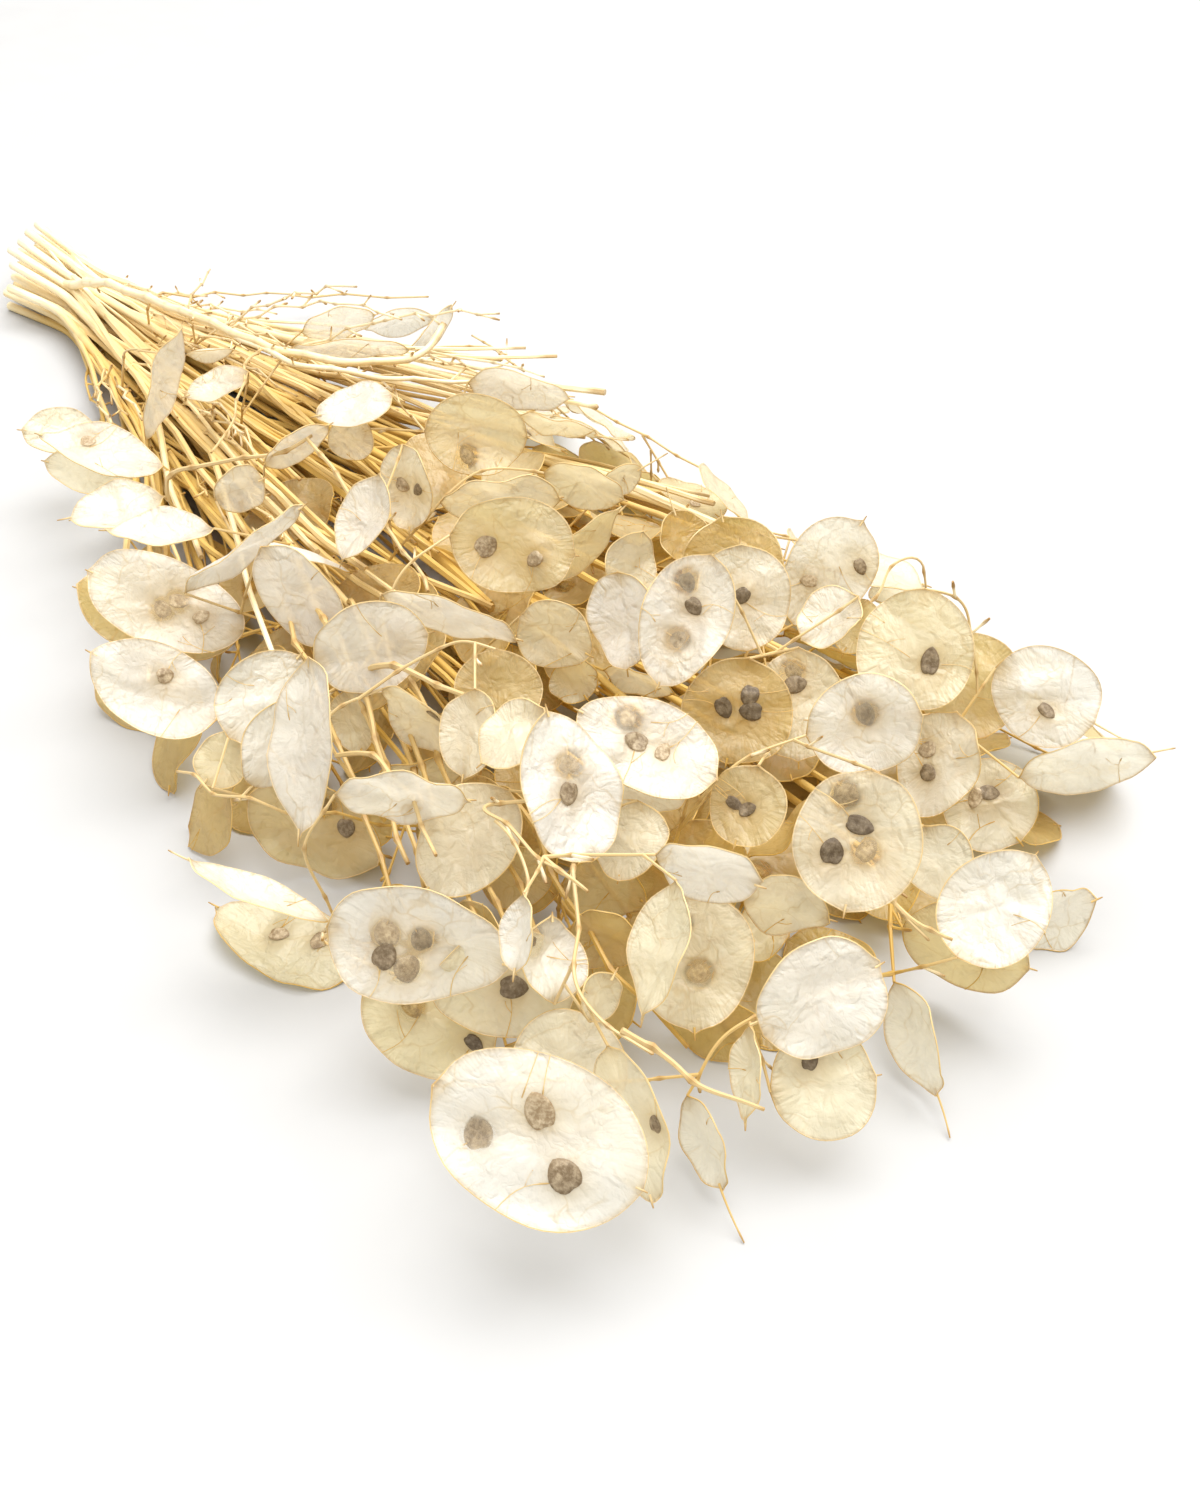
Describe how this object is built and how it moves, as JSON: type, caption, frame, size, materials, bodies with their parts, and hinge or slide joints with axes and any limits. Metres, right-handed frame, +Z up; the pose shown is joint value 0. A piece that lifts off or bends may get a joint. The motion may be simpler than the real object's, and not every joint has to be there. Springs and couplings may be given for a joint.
{
  "type": "dried honesty seed pod bunch",
  "caption": "Bunch of dried honesty lying on its side: straw stems fanning from a narrow waist, with forked twigs and papery oval seed pods.",
  "frame": {"origin": "middle of the footprint, on the table that the bunch lies on", "axes": "+X from the cut ends to the tips, +Y across the bunch, +Z up from the table"},
  "size_m": [0.5881, 0.2574, 0.0807],
  "materials": {
    "straw": "dry matt straw",
    "pod_wall": "thin papery translucent membrane with a silky sheen",
    "seed": "dry mottled brown"
  },
  "bodies": {
    "root": {"stem_01": "straw", "stem_02": "straw", "stem_03": "straw", "stem_04": "straw", "stem_05": "straw", "stem_06": "straw", "stem_07": "straw", "stem_08": "straw", "stem_09": "straw", "stem_10": "straw", "stem_11": "straw", "stem_12": "straw", "stem_13": "straw", "stem_14": "straw", "stem_15": "straw", "stem_16": "straw", "stem_17": "straw", "stem_18": "straw", "stem_19": "straw", "stem_20": "straw", "stem_21": "straw", "stem_22": "straw"}
  },
  "joints": []
}
